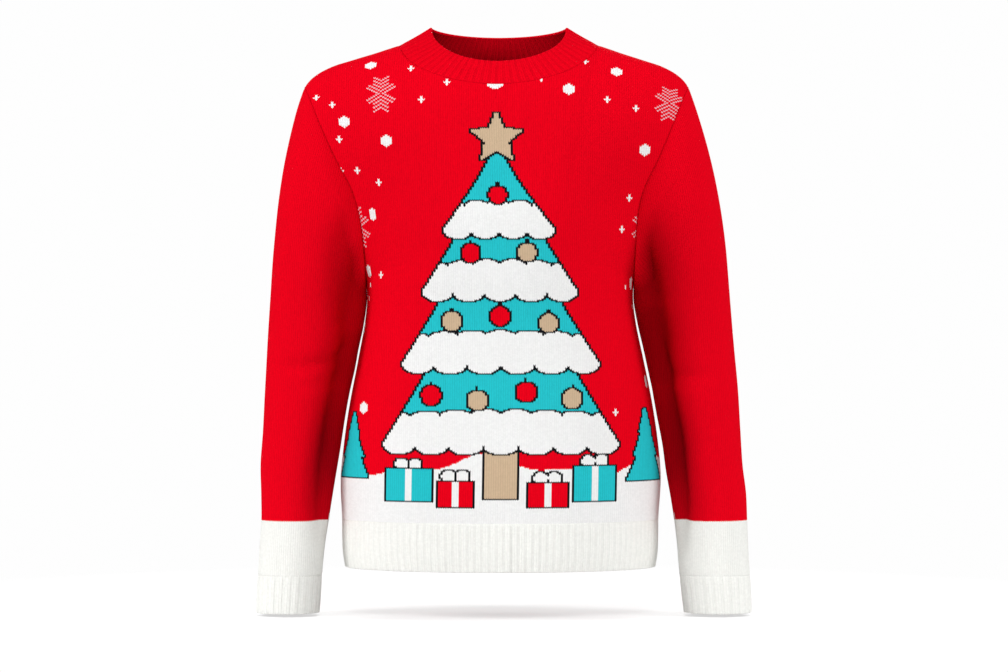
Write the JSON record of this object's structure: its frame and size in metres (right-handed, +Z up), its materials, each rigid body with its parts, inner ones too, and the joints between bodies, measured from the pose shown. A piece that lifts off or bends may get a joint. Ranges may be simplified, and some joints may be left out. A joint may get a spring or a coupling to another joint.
{
  "type": "christmas sweater",
  "caption": "Knitted crew-neck Christmas jumper with long sleeves, ribbed neckband, hem and cuffs, shown filled out as if worn.",
  "frame": {"origin": "midway between the shoulders and level with their middle, on the line of the shoulder seams, where a wearer's shoulders carry the garment", "axes": "+Z up from hem to neck, -Y towards the front of the garment, +X towards the viewer's right when the front is seen"},
  "size_m": [0.6035, 0.2479, 0.7134],
  "materials": {
    "red_knit": "plain red jacquard knit, matt",
    "red_rib": "red rib knit, matt",
    "white_rib": "off-white rib knit, matt"
  },
  "bodies": {
    "root": {"front_panel": "red_knit", "back_panel": "red_knit", "hem_rib_front": "white_rib", "hem_rib_back": "white_rib", "sleeve_left": "red_knit", "sleeve_right": "red_knit", "cuff_left": "white_rib", "cuff_right": "white_rib", "neckband": "red_rib"}
  },
  "joints": []
}
